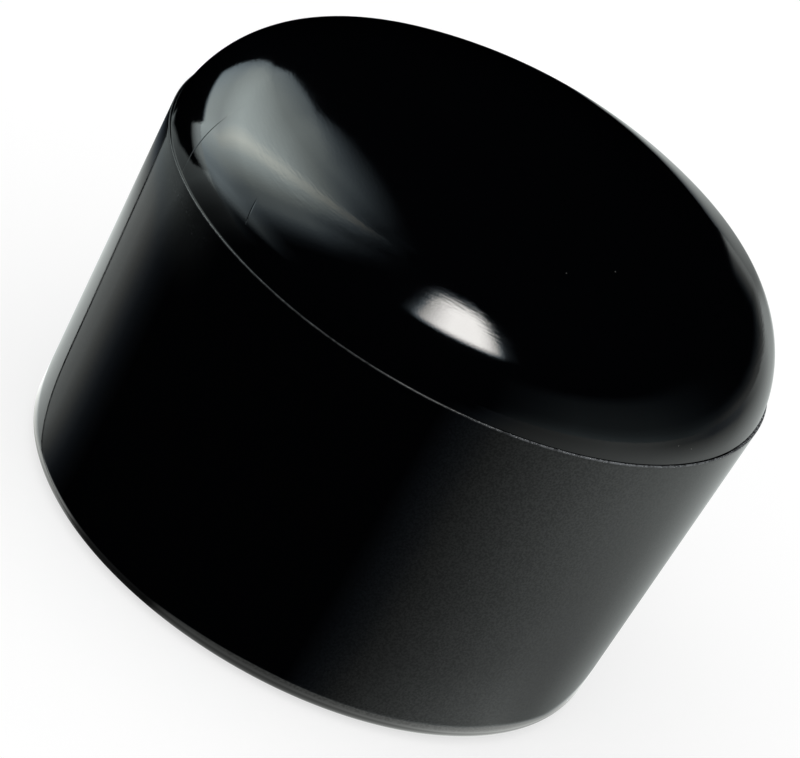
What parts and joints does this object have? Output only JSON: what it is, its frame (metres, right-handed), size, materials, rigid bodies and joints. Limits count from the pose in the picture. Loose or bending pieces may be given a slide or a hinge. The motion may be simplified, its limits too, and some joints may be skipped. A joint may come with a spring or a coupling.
{
  "type": "tube end cap",
  "caption": "Domed one-piece plastic cap that pushes over the end of a round tube, with a tapered skirt, a fine parting-line ledge and a blind round socket.",
  "frame": {"origin": "middle of the rim's face, at the open end", "axes": "+Z along the tube's axis, from the open rim up to the crown of the dome"},
  "size_m": [0.0456, 0.0456, 0.0363],
  "materials": {
    "black_plastic": "black moulded polyethylene, polished on the dome and satin on the skirt"
  },
  "bodies": {
    "root": {"end_cap": "black_plastic"}
  },
  "joints": []
}
